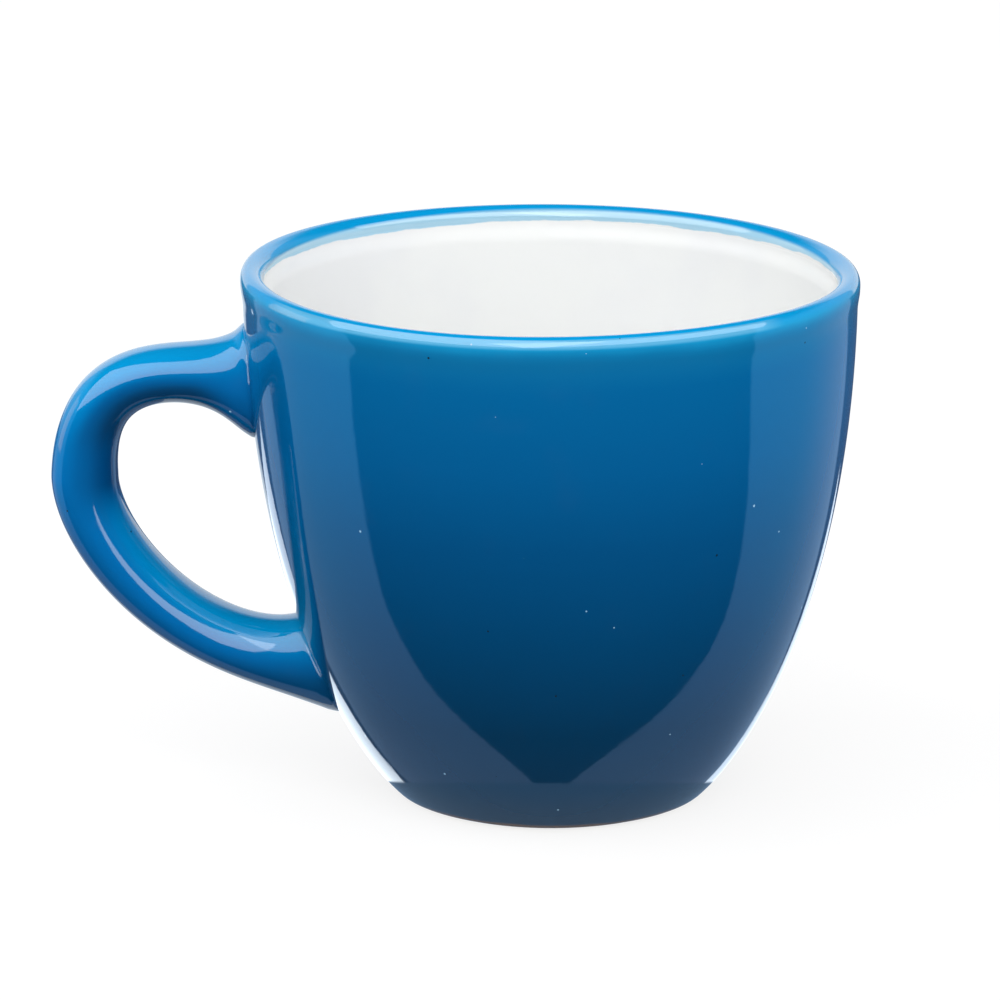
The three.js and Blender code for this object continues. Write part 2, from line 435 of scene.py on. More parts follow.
floor_mesh = bpy.data.meshes.new("pale_floor")
floor_points = [(x * floor_half, y * floor_half, 0) for x, y in floor_corners]
floor_mesh.from_pydata(floor_points, [], [range(len(floor_points))])
floor_mesh.materials.append(floor_finish)
floor = bpy.data.objects.new("pale_floor", floor_mesh)
bpy.context.scene.collection.objects.link(floor)
print("floor", 2 * floor_half, "m square, with a shaded patch of", 2 * shade_radius, "mm")

# %% [markdown]
# ## The cup's section
# A turned cup is one outline, spun. The outline is the finished surface, with the glaze on it, and it
# is drawn from cubic curves: two ends and two lead points each. The back of a coat, or the clay under
# it, is the same outline moved inwards, so a few helpers serve every piece.

# %% Curve helpers
def curve(start, lead_out, lead_in, end, steps):
    """Points along a cubic curve with its two lead points."""
    share = np.linspace(0, 1, steps + 1)[:, None]
    start, lead_out, lead_in, end = (np.array(point, float) for point in (start, lead_out, lead_in, end))
    rest = 1 - share
    return rest**3 * start + 3 * rest**2 * share * lead_out + 3 * rest * share**2 * lead_in + share**3 * end


def heading_of(angle):
    """The direction at an angle from the first axis."""
    return np.array([math.cos(angle), math.sin(angle)])


def outward(outline):
    """For each point of an outline, the direction that points out of the clay."""
    along = np.gradient(outline, axis=0)
    along /= np.linalg.norm(along, axis=1, keepdims=True)
    return np.stack([along[:, 1], -along[:, 0]], axis=1)


def sunk(outline, depth):
    """The outline moved a depth into the clay. Points on the axis stay on it."""
    moved = outline - depth * outward(outline)
    moved[outline[:, 0] == 0, 0] = 0
    return moved


leaning_line = np.array([heading_of(0), heading_of(math.pi / 2)])
print("a line from (1, 0) to (0, 1) faces", outward(leaning_line)[0].round(2))

# %% [markdown]
# The bowl leaves the foot at an angle and runs up into an almost upright side. The lip swells a little past
# the side and turns over in two quarter ellipses, a tight one outside and a wider one inside, as a potter's
# sponge leaves it.

# %% Outside of the wall and the lip
foot_radius = 16.5
coat_build = 0.5
bowl_angle = math.radians(39)
bowl_lead = 5.2
side_lean = math.radians(1.4)
side_lead = 35.2
lip_outer = 1.0
lip_inner = 1.5
lip_tall = 1.4
lip_overhang = 0.28
lip_drop = 4.2
lip_blend = 1.2
wall_steps = 160
swell_steps = 20
lip_points = 61

foot_point = np.array([foot_radius + coat_build, 0])
neck_point = np.array([rim_radius - lip_overhang, cup_height - lip_drop])
side_way = heading_of(math.pi / 2 - side_lean)
bowl_end = foot_point + bowl_lead * heading_of(bowl_angle)
wall = curve(foot_point, bowl_end, neck_point - side_lead * side_way, neck_point, wall_steps)
lip_centre = np.array([rim_radius - lip_outer, cup_height - lip_tall])
lip_edge = lip_centre + (lip_outer, 0)
swell_lead = neck_point + lip_blend * side_way
swell = curve(neck_point, swell_lead, lip_edge - (0, lip_blend), lip_edge, swell_steps)
lip_turns = np.array([heading_of(turn) for turn in np.linspace(0, math.pi, lip_points)])
lip_widths = np.where(lip_turns[:, 0] > 0, lip_outer, lip_inner)
lip = lip_centre + np.stack([lip_widths * lip_turns[:, 0], lip_tall * lip_turns[:, 1]], axis=1)


def wall_radius(height):
    """Radius of the finished wall at a height."""
    return np.interp(height, wall[:, 1], wall[:, 0])


print(f"widest side {wall[:, 0].max():.2f}, lip {lip[:, 0].max():.2f}, top {lip[:, 1].max():.2f}")

# %% [markdown]
# Inside, the wall is the same curve at the wall's thickness, which grows downwards, as thrown walls
# do. A soft shoulder leads from the lip to it, and a dish closes the floor. The blue coat ends just
# below the lip, and the white goes on from there.

# %% Inside of the wall and the floor
neck_thickness = 2.75
low_thickness = 4
floor_height = 5.6
floor_turn = 0.443
floor_turn_lead = 7
floor_flat = 9
blue_below_lip = 0.3
shoulder_blend = 1
shoulder_steps = 24
dish_steps = 48

wall_share = np.linspace(0, 1, len(wall))
thickness = np.interp(wall_share, [floor_turn, 1], [low_thickness, neck_thickness])
inner_face = wall - thickness[:, None] * outward(wall)
inner_wall = inner_face[wall_share >= floor_turn][::-1]
blue_end = lip[-1] - (0, blue_below_lip)
shoulder_lead = inner_wall[0] + shoulder_blend * side_way
shoulder = curve(blue_end, blue_end - (0, shoulder_blend), shoulder_lead, inner_wall[0], shoulder_steps)
turn_way = inner_wall[-1] - inner_wall[-2]
turn_lead = inner_wall[-1] + floor_turn_lead * turn_way / np.linalg.norm(turn_way)
dish = curve(inner_wall[-1], turn_lead, (floor_flat, floor_height), (0, floor_height), dish_steps)
print(f"inside radius at the neck {inner_wall[0][0]:.2f}, floor starts at height {dish[0][1]:.2f}")

# %% [markdown]
# ## Turning
# A real cup is never quite true: as it dries, its rim leans and waves by a few tenths of a millimetre.
# One function says how far the clay moved, and the pieces of the cup and its finishes all follow it.

# %% The drying of the clay
rim_lean = 0.17
lift_right = -0.18
lift_back = -0.25
lift_twist = -0.21
lift_oval = 0.06
lift_lobes = -0.08
least_radius = 1
rim_power = 3


def rim_lift(right, back):
    """How far the rim rose in drying, from the shares of right and back in a direction from the axis."""
    # the cosine of three times the direction's angle, so three lobes round the rim
    lobes = right * (4 * right * right - 3)
    oval_rise = right * right - back * back
    leaning = lift_right * right + lift_back * back + lift_twist * right * back
    return leaning + lift_oval * oval_rise + lift_lobes * lobes


def settled(points):
    """Points of a true cup, moved as the drying clay moved them: more near the rim."""
    radius = np.maximum(np.hypot(points[:, 0], points[:, 1]), least_radius)
    near_rim = (points[:, 2] / cup_height) ** rim_power
    moved = points.copy()
    moved[:, 2] += near_rim * rim_lift(points[:, 0] / radius, points[:, 1] / radius)
    moved[:, 0] -= near_rim * rim_lean
    return moved


print(f"the rim rises {rim_lift(0, -1):.2f} mm at the front and {rim_lift(0, 1):.2f} mm at the back")

# %% [markdown]
# An outline becomes a mesh by spinning it about the axis. A Screw modifier could do that, but the points are
# written out here instead, so that each one can be moved as the clay moved. Points on the axis close the
# mesh with triangles.

# %% The potter's wheel
ring_sides = 256
sharp_angle = math.radians(35)


def piece(name, points, faces, finish):
    """A smooth mesh object from points in millimetres about the cup's axis."""
    mesh = bpy.data.meshes.new(name)
    mesh.from_pydata((points * mm).tolist(), [], faces)
    mesh.shade_smooth()
    mesh.set_sharp_from_angle(angle=sharp_angle)
    mesh.materials.append(finish)
    made = bpy.data.objects.new(name, mesh)
    made.location.x = axis_x * mm
    bpy.context.scene.collection.objects.link(made)
    print(name, len(mesh.vertices), "points", len(mesh.polygons), "faces")
    return made


def turned(name, outline, finish):
    """Spin a closed outline of (radius, height) about the axis. The clay lies to the left of its path."""
    angles = np.linspace(0, 2 * math.pi, ring_sides, endpoint=False)
    points = []
    rings = []
    for radius, height in outline:
        around = angles if radius > 0 else angles[:1]
        rings.append(len(points) + np.arange(len(around)))
        points.extend((radius * math.cos(a), radius * math.sin(a), height) for a in around)
    faces = []
    for ring, following in zip(rings, rings[1:] + rings[:1]):
        for side in range(ring_sides):
            beside = (side + 1) % ring_sides
            corners = [ring[side % len(ring)], ring[beside % len(ring)]]
            corners += [following[beside % len(following)], following[side % len(following)]]
            corners = list(dict.fromkeys(int(corner) for corner in corners))
            if len(corners) > 2:
                faces.append(corners)
    return piece(name, settled(np.array(points)), faces, finish)


print("rings of", ring_sides, "sides")

# %% [markdown]
# ## Blue glaze
# The blue is a clear coloured glaze over pale clay. Where it runs thin, over the lip, it breaks to
# turquoise. Low on the bowl it goes deep, partly where it flows and pools and partly as painted shade.
# So its colour follows the place on the cup, stirred by soft noise, and a few pinholes and specks of iron
# are scattered over it. The patterns are worked out in millimetres, so that they keep their real size on
# every piece.

# %% Places and patterns
noise_middle = 0.5


def place_on_cup(start):
    """Where a point of a finish lies about the cup's axis. Its height is that on the true cup."""
    place = object_place(start)
    parts = place.parts()
    radius = place.stretched(1, 1, 0).vector("LENGTH", out="Value")
    right = parts.out("X") / radius
    back = parts.out("Y") / radius
    near_rim = parts.out("Z") / cup_height
    height = parts.out("Z") - near_rim * near_rim * near_rim * rim_lift(right, back)
    return SimpleNamespace(place=place, height=height, radius=radius, right=right, back=back)


def cloud(place, size, detail=2, roughness=0.5):
    """Soft noise, 0 to 1, with blots of about this size in millimetres."""
    values = {"Vector": place, "Scale": 1 / size, "Detail": detail, "Roughness": roughness}
    return place.node("ShaderNodeTexNoise", {}, values)


def wander(place, reach, **noise):
    """Soft noise about 0, over this reach from its lowest to its highest."""
    return reach * (cloud(place, **noise) - noise_middle)


def specks(place, spacing, radius, share):
    """1 inside small round specks: in a share of the cells, one each."""
    cell = place.node("ShaderNodeTexVoronoi", {}, {"Vector": place, "Scale": 1 / spacing})
    chosen = place.node("ShaderNodeSeparateColor", {}, {0: cell.out("Color")}) < share
    return (cell.out("Distance") < radius / spacing) * chosen


print("patterns for the glazes:", [made.__name__ for made in (cloud, wander, specks)])

# %% [markdown]
# Inside the rim the blue has run down over the white and ends in a ragged line. Above the line it is a pale
# wash, made paler still by a painted highlight of the lamps that reaches highest at the back, and only the
# top of the lip keeps its full colour. The blue coat and the white lining meet in this zone, so both
# finishes use the same line, and the joint between them can't be seen.

# %% Blue wash inside the rim
wash_depth = 1.65
wash_slant = 0.25
wash_wander = 0.9
wash_soft = 0.08
# where the pale wash with its painted highlight begins: highest at the back
fade_depth = 0.4
fade_aside = 1.0
fade_slant = 0.2
fade_soft = 0.2


def rim_wash(on):
    """Inside the rim: 1 above the ragged line where the blue ends, 0 on the white below it."""
    ragged = wander(on.place, wash_wander, size=7, detail=4, roughness=0.62)
    above_line = on.height + ragged - wash_slant * on.right - (cup_height - wash_depth)
    return above_line.rise(-wash_soft, wash_soft)


def rim_fade_and_highlight(on):
    """Inside the rim: 0 on the blue at the top, 1 where it has run thin over the white and a painted
    highlight pales it, reaching highest at the back.
    """
    depth = cup_height - on.height - fade_aside * (1 - on.back) + fade_slant * on.right
    return depth.rise(fade_depth - fade_soft, fade_depth + fade_soft)


print("the blue ends", wash_depth, "mm below the rim inside")

# %% [markdown]
# On the cup the colour is a ramp over the height, from grey-blue at the foot to turquoise at the rim,
# with faint rings from the wheel; it darkens low on the bowl partly where the glaze pools and partly as
# painted shade.
# Faces that look up are brighter: painted light from above. Along the front of the lip a pale band is a
# painted highlight.

# %% Blue of the cup
# The ramp darkens low on the bowl, partly where the glaze pools and partly as painted shade.
glaze_and_shade_stops = [
    (0.00, screen(40, 60, 80)),
    (0.10, screen(14, 54, 84)),
    (0.22, screen(5, 53, 86)),
    (0.42, screen(1, 65, 108)),
    (0.60, screen(1, 75, 125)),
    (0.75, screen(1, 87, 142)),
    (0.90, screen(1, 95, 151)),
    (0.955, screen(10, 106, 157)),
    (0.966, screen(12, 114, 166)),
    (0.976, screen(18, 134, 186)),
    (0.985, screen(20, 152, 204)),
    (1.00, screen(14, 152, 210)),
]
# painted light: the colour of faces that look up, brighter where light from above falls
top_lit_blue = screen(1, 152, 214)
# painted highlight: the lamps' reflection along the front of the lip
painted_lip_highlight = screen(92, 174, 216)
pinhole_colour = screen(150, 190, 216)
iron_colour = screen(16, 44, 66)
iron_stretch = (1.01, 0.99, 1.02)
ring_stir = 0.016
ring_stretch = (0.08, 0.08, 1)
cloud_stir = 0.012
top_lit_upward = (0.1, 0.8)
highlight_upward = (0.05, 0.25)
highlight_level = (0.7, 0.78)
lip_heights = (cup_height - 2.6, cup_height - 2)
lip_radii = (rim_radius - 1.2, rim_radius - 1)
highlight_right = -0.14
highlight_back = -0.99
highlight_span = (0.56, 0.68)


def facing(start):
    """How far a face points right, back and up."""
    return start.node("ShaderNodeTexCoord").out("Normal").parts()


def speckled(place, colour):
    """A colour pricked with pinholes and iron specks."""
    pinholes = specks(place, spacing=3, radius=0.14, share=0.35)
    iron = specks(place.stretched(*iron_stretch), spacing=3.4, radius=0.14, share=0.3)
    return iron.tint(pinholes.tint(colour, pinhole_colour), iron_colour)


def cup_blue(start, on):
    """The blue of the cup: deep low down, partly as painted shade, thin on the lip, with painted light on
    faces that look up and a painted highlight along the lip's front.
    """
    upward = facing(start).out("Z")
    rings = wander(on.place.stretched(*ring_stretch), ring_stir, size=2.2, detail=3)
    shift = rings + wander(on.place, cloud_stir, size=9)
    # a ramp by height: deeper low down, partly pooling glaze and partly painted shade
    ramp_with_painted_shade = start.node("ShaderNodeValToRGB", {"stops": glaze_and_shade_stops}, {0: on.height / cup_height + shift})
    # painted light from above on faces that look up
    thin = upward.rise(*top_lit_upward).tint(ramp_with_painted_shade, top_lit_blue)
    # painted highlight on the front of the lip, on faces that look partly up, where the lamps' reflection
    # falls
    highlight_slope = upward.rise(*highlight_upward) * (1 - upward.rise(*highlight_level))
    lip_highlight_band = highlight_slope * on.height.rise(*lip_heights) * on.radius.rise(*lip_radii)
    front = (highlight_back * on.back + highlight_right * on.right).rise(*highlight_span)
    return speckled(on.place, (lip_highlight_band * front).tint(thin, painted_lip_highlight))


print("the cup's blue has", len(glaze_and_shade_stops), "depths of colour")

# %% [markdown]
# A handle has a top and an underside all along its bend, so here the colour follows which way a face looks,
# as painted light and shade: bright on top, where painted light falls, and deep below, in painted shade.
# The painted shade is deepest inside the bend, at the lower root and under the upper arm.

# %% Blue of the handle, with painted light and shade
# painted light and shade: the colour by which way a face looks, bright where light falls from above, dark
# below
handle_light_and_shade_stops = [
    (0.00, screen(8, 52, 86)),
    (0.15, screen(4, 66, 110)),
    (0.30, screen(1, 80, 136)),
    (0.42, screen(1, 95, 158)),
    (0.50, screen(1, 106, 174)),
    (0.61, screen(1, 120, 186)),
    (0.70, screen(1, 136, 200)),
    (0.80, screen(1, 148, 210)),
    (1.00, screen(1, 150, 212)),
]
handle_stir = 0.03
level_stop = 0.5
# painted shade inside the bend, at the lower root and under the upper arm
bend_shade_blue = screen(1, 68, 120)
bend_facing = (-0.8, 0.9)
bend_upward = (0, 0.5)
bend_radii = (40, 50)
bend_heights = (29, 36)
root_shade_blue = screen(4, 64, 104)
root_shade_share = 0.7
root_heights = (12, 17)
root_upward = (0, 0.3)
arm_shade_blue = screen(8, 52, 86)
arm_shade_share = 0.75
arm_heights = (38, 42)
arm_upward = (-0.35, 0.25)
arm_radii = (35, 40)


def handle_blue(start, on):
    """The blue of the handle: painted light on top and painted shade underneath, deepest inside the bend, at
    the lower root and under the upper arm.
    """
    faces = facing(start)
    upward = faces.out("Z")
    stop = upward / 2 + level_stop + wander(on.place, handle_stir, size=9)
    ramp_with_painted_shade = start.node("ShaderNodeValToRGB", {"stops": handle_light_and_shade_stops}, {0: stop})
    # masks of painted shade: inside the bend, at the lower root and under the upper arm
    toward_cup = faces.out("X").rise(*bend_facing) * (1 - upward.rise(*bend_upward))
    bend_shade = toward_cup * on.radius.rise(*bend_radii) * on.height.rise(*bend_heights)
    root_shade = (1 - on.height.rise(*root_heights)) * (1 - upward.rise(*root_upward))
    arm_shade = on.height.rise(*arm_heights) * (1 - upward.rise(*arm_upward)) * on.radius.rise(*arm_radii)
    # deep: the painted shade laid over the facing ramp
    deep = (root_shade_share * root_shade).tint(bend_shade.tint(ramp_with_painted_shade, bend_shade_blue), root_shade_blue)
    return speckled(on.place, (arm_shade_share * arm_shade).tint(deep, arm_shade_blue))


print("the handle's blue has", len(handle_light_and_shade_stops), "depths of colour")

# %% [markdown]
# The two blues become two finishes. The cup's also holds the wash inside the rim, with its painted
# highlight, and, at its lower end, the brown line where the glaze thins out over the bare clay of the foot.

# %% Blue glaze
# the thin blue wash, made paler by a painted highlight of the lamps
wash_and_highlight = screen(164, 207, 229)
white_colour = screen(240, 241, 240)
bare_brown = screen(120, 92, 62)
inside_radii = (rim_radius - 1.4, rim_radius - 1.2)
inside_heights = (cup_height - 8, cup_height - 7)
glaze_start = 0.5
foot_edge_width = 0.5
foot_edge_wander = 0.5
foot_edge_inset = 1

blue_glaze, blue_shader, start = new_finish("blue_glaze")
on = place_on_cup(start)
inside = (1 - on.radius.rise(*inside_radii)) * on.height.rise(*inside_heights)
# the wash with its painted highlight inside the rim
washed = (inside * rim_fade_and_highlight(on)).tint(cup_blue(start, on), wash_and_highlight)
lined = (inside * (1 - rim_wash(on))).tint(washed, white_colour)
foot_wave = on.height + wander(on.place, foot_edge_wander, size=6)
foot_edge = 1 - foot_wave.rise(glaze_start, glaze_start + foot_edge_width)
foot_edge = foot_edge * on.radius.rise(foot_radius - foot_edge_inset, foot_radius)
feed(blue_shader, "Base Color", foot_edge.tint(lined, bare_brown))

handle_glaze, handle_shader, start = new_finish("blue_glaze_on_handle")
feed(handle_shader, "Base Color", handle_blue(start, place_on_cup(start)))
print("blue finishes:", blue_glaze.name, handle_glaze.name)

# %% [markdown]
# A fired glaze is glass, so it is smooth, but not flat: it has long ripples where it flowed and a fine skin.
# Both are a bump far too low to model. A few patches are a little duller. The blue mirrors more strongly
# than the white, so each glaze is given its own index of refraction.

# %% Gloss
glaze_ior = 1.8
gloss = 0.05
dull_patch = 0.05
dull_range = (0.55, 0.8)
ripple_height = 0.02
skin_height = 0.003


def bumped(start, height):
    """A Bump normal from a height in millimetres."""
    return start.node("ShaderNodeBump", {}, {"Distance": mm, "Height": height})


def make_glossy(material, shader, ior):
    """Give a glaze its gloss, with a few duller patches, and its ripples."""
    place = object_place(Wire(material.node_tree))
    feed(shader, "Roughness", gloss + dull_patch * cloud(place, size=4).rise(*dull_range))
    ripples = cloud(place, size=8, detail=1) * ripple_height
    feed(shader, "Normal", bumped(place, ripples + cloud(place, size=0.9, detail=1) * skin_height))
    shader.inputs["IOR"].default_value = ior


make_glossy(blue_glaze, blue_shader, glaze_ior)
make_glossy(handle_glaze, handle_shader, glaze_ior)
print("roughness of the glaze", gloss, "to", gloss + dull_patch)

# %% [markdown]
# ## White glaze
# The lining is an opaque white glaze, with the same ripples and a few grey flecks. Near the rim the
# blue washes over it, in the same ragged line as on the blue coat. Its index of refraction is set low,
# because the images that it mirrors are faint beside its own white.

# %% White glaze
white_shade = screen(236, 237, 238)
fleck_colour = screen(188, 182, 170)
milk_range = (0.35, 0.7)
lining_ior = 1.2

white_glaze, white_shader, start = new_finish("white_glaze")
on = place_on_cup(start)
milk = cloud(on.place, size=12).rise(*milk_range).tint(white_colour, white_shade)
# the wash with its painted highlight over the white
washed_milk = rim_wash(on).tint(milk, wash_and_highlight)
flecks = specks(on.place, spacing=4, radius=0.12, share=0.15)
feed(white_shader, "Base Color", flecks.tint(washed_milk, fleck_colour))
make_glossy(white_glaze, white_shader, lining_ior)
print("white finish:", white_glaze.name)

# %% [markdown]
# ## Bare stoneware
# Only the foot ring shows the clay: buff, matt and sandy, with fine rings left by the turning tool. The slip
# under the handle's roots is the same clay, washed finer and fired paler.

# %% Stoneware and slip
clay_light = screen(202, 180, 148)
clay_dark = screen(158, 130, 98)
slip_light = screen(214, 200, 176)
slip_dark = screen(178, 158, 128)
grit_colour = screen(92, 70, 50)
grain_range = (0.3, 0.7)
grain_height = 0.03
tool_pitch = 0.45
tool_height = 0.02
clay_roughness = 0.85


def clay(name, light, dark):
    """Matt fired clay with grit in it and rings from the turning tool."""
    material, shader, start = new_finish(name)
    on = place_on_cup(start)
    body = cloud(on.place, size=1.5, detail=5, roughness=0.65).rise(*grain_range).tint(dark, light)
    grit = specks(on.place, spacing=1.2, radius=0.14, share=0.35)
    feed(shader, "Base Color", grit.tint(body, grit_colour))
    tool = start.math("SINE", on.radius * (2 * math.pi / tool_pitch))
    relief = cloud(on.place, size=0.4, detail=4) * grain_height + tool * tool_height
    feed(shader, "Normal", bumped(start, relief))
    shader.inputs["Roughness"].default_value = clay_roughness
    return material


stoneware = clay("stoneware", clay_light, clay_dark)
slip = clay("slip", slip_light, slip_dark)
print("clay finishes:", stoneware.name, slip.name)

# %% [markdown]
# ## The blue coat on the cup
# The coat is a closed skin, 0.4 mm thick: up the outside, over the lip, down to where the white
# starts, and back along the clay. Its lower end is rounded off, as a glaze draws itself up when it
# melts. The hidden back needs fewer rings than the face.

# %% Glazed cup
glaze_thickness = 0.4
edge_round = 0.45
edge_steps = 10
hidden_step = 6


def hidden_back(face_back):
    """The back of a coat, from its far end to its near end, with fewer points."""
    return np.concatenate([face_back[-1:], face_back[:-1:hidden_step][::-1]])


coated_wall = wall[wall[:, 1] > glaze_start]
blue_skin = np.concatenate([coated_wall, swell[1:], lip[1:], [blue_end]])
blue_back = sunk(blue_skin, glaze_thickness)
first_way = blue_skin[1] - blue_skin[0]
edge_lead = edge_round * first_way / np.linalg.norm(first_way)
edge_leads = (blue_back[0] - edge_lead, blue_skin[0] - edge_lead)
rounded_end = curve(blue_back[0], *edge_leads, blue_skin[0], edge_steps)
blue_outline = np.concatenate([rounded_end, blue_skin[1:], hidden_back(blue_back)[:-1]])
glazed_cup = turned("glazed_cup", blue_outline, blue_glaze)

# %% [markdown]
# The lining starts where the blue coat ends and goes down the shoulder and the inner wall to the middle of
# the floor. Its back follows it at the same thickness, so it is a closed shell like the blue.

# %% White lining
white_skin = np.concatenate([shoulder, inner_wall[1:], dish[1:]])
white_back = sunk(white_skin, glaze_thickness)
white_lining = turned("white_lining", np.concatenate([white_skin, hidden_back(white_back)]), white_glaze)

# %% [markdown]
# ## The clay cup
# Under the coats lies the fired clay. Its foot ring is the part that shows: two small rounded edges, a flat
# face to stand on, and a shallow recess inside, which has its own glaze.

# %% Stoneware cup
foot_ring_width = 2.6
foot_recess = 1.3
foot_round = 0.35
well_round = 0.3
corner_steps = 6

ring_inner = foot_radius - foot_ring_width
clay_skin = np.concatenate([coated_wall, swell[1:], lip[1:], [blue_end], white_skin[1:]])
clay_outline = sunk(clay_skin, coat_build)


def corner(before, point, after):
    """A rounded corner between two points, about the corner itself."""
    return curve(before, point, point, after, corner_steps)


well_top_edge = (ring_inner, foot_recess)
under_foot = np.concatenate([
    [(0, foot_recess)],
    corner((ring_inner - well_round, foot_recess), well_top_edge, (ring_inner, foot_recess - well_round)),
    corner((ring_inner, foot_round), (ring_inner, 0), (ring_inner + foot_round, 0)),
    corner((foot_radius - foot_round, 0), (foot_radius, 0), (foot_radius, foot_round)),
])
stoneware_cup = turned("stoneware_cup", np.concatenate([under_foot, clay_outline]), stoneware)

# %% [markdown]
# The recess inside the foot ring is glazed too, so that the mug wipes clean. The glaze lies as a thin
# disc on the clay and creeps a little way down the ring. A turned outline makes it, like the cup, and
# its size comes from the frame.

# %% Glaze in the foot well
well_low, well_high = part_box("base_glaze")
well_radius = well_high.y / mm
well_top = well_high.z / mm
well_face = well_low.z / mm
creep = 0.3
creep_width = 1.4
creep_steps = 10

creep_start = (well_radius - creep_width, well_face)
creep_lead = (well_radius - creep_width / 2, well_face)
creep_end = (well_radius, well_face - creep)
well_edge = curve(creep_start, creep_lead, (well_radius, well_face), creep_end, creep_steps)
well_outline = np.concatenate([[(0, well_face)], well_edge, [(well_radius, well_top), (0, well_top)]])
foot_well_glaze = turned("foot_well_glaze", well_outline, blue_glaze)

# %% [markdown]
# ## The handle
# A handle like this is pulled or cast as a loop of oval section, then luted on with slip. Its centre line is
# two cubic curves that meet at the bend, drawn in the plane through the axis. It leaves the wall a little
# downhill at the upper root and comes back level at the lower one.

# %% Centre line of the handle
upper_root_drop = 12.3
upper_root_sink = 0.3
upper_dip = math.radians(6.4)
upper_lead = 4.3
bend_thickness = 7.4
bend_drop = 11.3
bend_lead_up = 15.7
bend_lead_down = 7.3
lower_root_height = 14.7
lower_root_sink = 0.7
lower_lead = 15.7
arm_steps = 200

upper_root_height = cup_height - upper_root_drop
upper_root = np.array([upper_root_sink - wall_radius(upper_root_height), upper_root_height])
upper_way = -heading_of(upper_dip)
bend = np.array([bend_thickness / 2 - rim_radius - handle_reach, upper_root_height - bend_drop])
lower_root = np.array([lower_root_sink - wall_radius(lower_root_height), lower_root_height])
lower_way = heading_of(0)
upper_arm = curve(upper_root, upper_root + upper_lead * upper_way, bend + (0, bend_lead_up), bend, arm_steps)
lower_lead_point = lower_root - lower_lead * lower_way
lower_arm = curve(bend, bend - (0, bend_lead_down), lower_lead_point, lower_root, arm_steps)
centre_line = np.concatenate([upper_arm, lower_arm[1:]])
print(f"upper root at {upper_root.round(2)}, bend at {bend.round(2)}, lower root at {lower_root.round(2)}")

# %% [markdown]
# The oval section grows thicker from each root towards the bend and flares where it meets the wall, as clay
# does when it is pressed on and smoothed down with a wet thumb. At the lower root the underside spreads more
# gently than the top, and goes on spreading a little way into the wall.

# %% Ovals along the handle
upper_thickness = 5
lower_thickness = 6
handle_depth = 8.6
upper_flare = 4.8
upper_flare_length = 3
lower_flare = 3.2
lower_flare_length = 4.7
under_flare = 3.1
under_flare_start = 2
under_flare_soft = 1.5
depth_flare = 1.1


def path_length(line):
    """For each point of a line, how far along the line it lies."""
    return np.concatenate([[0], np.cumsum(np.linalg.norm(np.diff(line, axis=0), axis=1))])


def underside_flare(from_root):
    """How far the underside of the lower root spreads, at a distance before the root."""
    inward = np.maximum(from_root + under_flare_start, 0)
    return under_flare * np.exp((under_flare_soft - np.hypot(inward, under_flare_soft)) / lower_flare_length)


travelled = path_length(centre_line)
length = travelled[-1]
to_bend = travelled[len(upper_arm) - 1]
on_upper = travelled < to_bend
bend_share = np.where(on_upper, travelled / to_bend, (length - travelled) / (length - to_bend))
root_thickness = np.where(on_upper, upper_thickness, lower_thickness)
near_upper = np.exp(-travelled / upper_flare_length)
near_lower = np.exp(-(length - travelled) / lower_flare_length)
half_thick = (root_thickness + (bend_thickness - root_thickness) * bend_share) / 2 + upper_flare * near_upper
half_inner = half_thick + lower_flare * near_lower
half_outer = half_thick + underside_flare(length - travelled)
half_deep = handle_depth / 2 + depth_flare * (near_upper + near_lower)
print(f"handle {length:.1f} mm long along its centre line, {2 * half_inner.min():.1f} mm at its thinnest")

# %% [markdown]
# The surface is a bundle of lines that run along the handle, one for each step round the oval. They are run
# on into the wall at both ends, to be cut off there. The clay and the slip use the same lines, drawn in.

# %% Lines along the handle
handle_sides = 72
section_fullness = 2.3
root_embed = 6
embed_steps = 12


def oval(turn):
    """The oval's rounding: a little fuller than an ellipse."""
    return np.sign(turn) * np.abs(turn) ** (2 / section_fullness)


def run_on(values):
    """Values along the centre line, carried on unchanged into the wall at both ends."""
    widths = [(embed_steps, embed_steps)] + [(0, 0)] * (values.ndim - 1)
    return np.pad(values, widths, "edge")


def handle_lines(inset):
    """Lines along the handle's surface, drawn in by an inset and run on into the wall at both ends."""
    into_wall = np.linspace(root_embed, 0, embed_steps, endpoint=False)[:, None]
    upper_end = upper_root - into_wall * upper_way
    lower_end = lower_root + into_wall[::-1] * lower_way
    line = np.concatenate([upper_end, centre_line, lower_end])
    across = run_on(outward(centre_line))
    inner = run_on(half_inner) - inset
    outer = run_on(half_outer) - inset
    outer[-embed_steps:] += underside_flare(-into_wall[::-1, 0]) - underside_flare(0)
    deep = run_on(half_deep) - inset
    turns = np.linspace(0, 2 * math.pi, handle_sides, endpoint=False)
    rise = np.where(np.cos(turns) > 0, outer[:, None], inner[:, None]) * oval(np.cos(turns))
    lines = np.zeros((len(line), handle_sides, 3))
    lines[:, :, 0] = line[:, :1] + across[:, :1] * rise
    lines[:, :, 1] = deep[:, None] * oval(np.sin(turns))
    lines[:, :, 2] = line[:, 1:] + across[:, 1:] * rise
    return lines


skin_lines = handle_lines(0)
print("lines round the handle:", skin_lines.shape[1], "with", skin_lines.shape[0], "points each")

# %% [markdown]
# Glaze bridges the joint between a handle and its cup and leaves a small blunt step with a crease. So each
# line is followed from its root to where it stands off the wall, cut there, and rounded down into the wall.
# The wall is curved, so every line is cut at its own place.

# %% Rounding the roots into the wall
blunt_start = 1.2
blunt_edge = 0.35
root_sunk = 0.06
blunt_rings = 8
points_per_ring = 4


def off_wall(points):
    """How far points stand off the finished wall, measured level."""
    return np.hypot(points[:, 0], points[:, 1]) - wall_radius(points[:, 2])


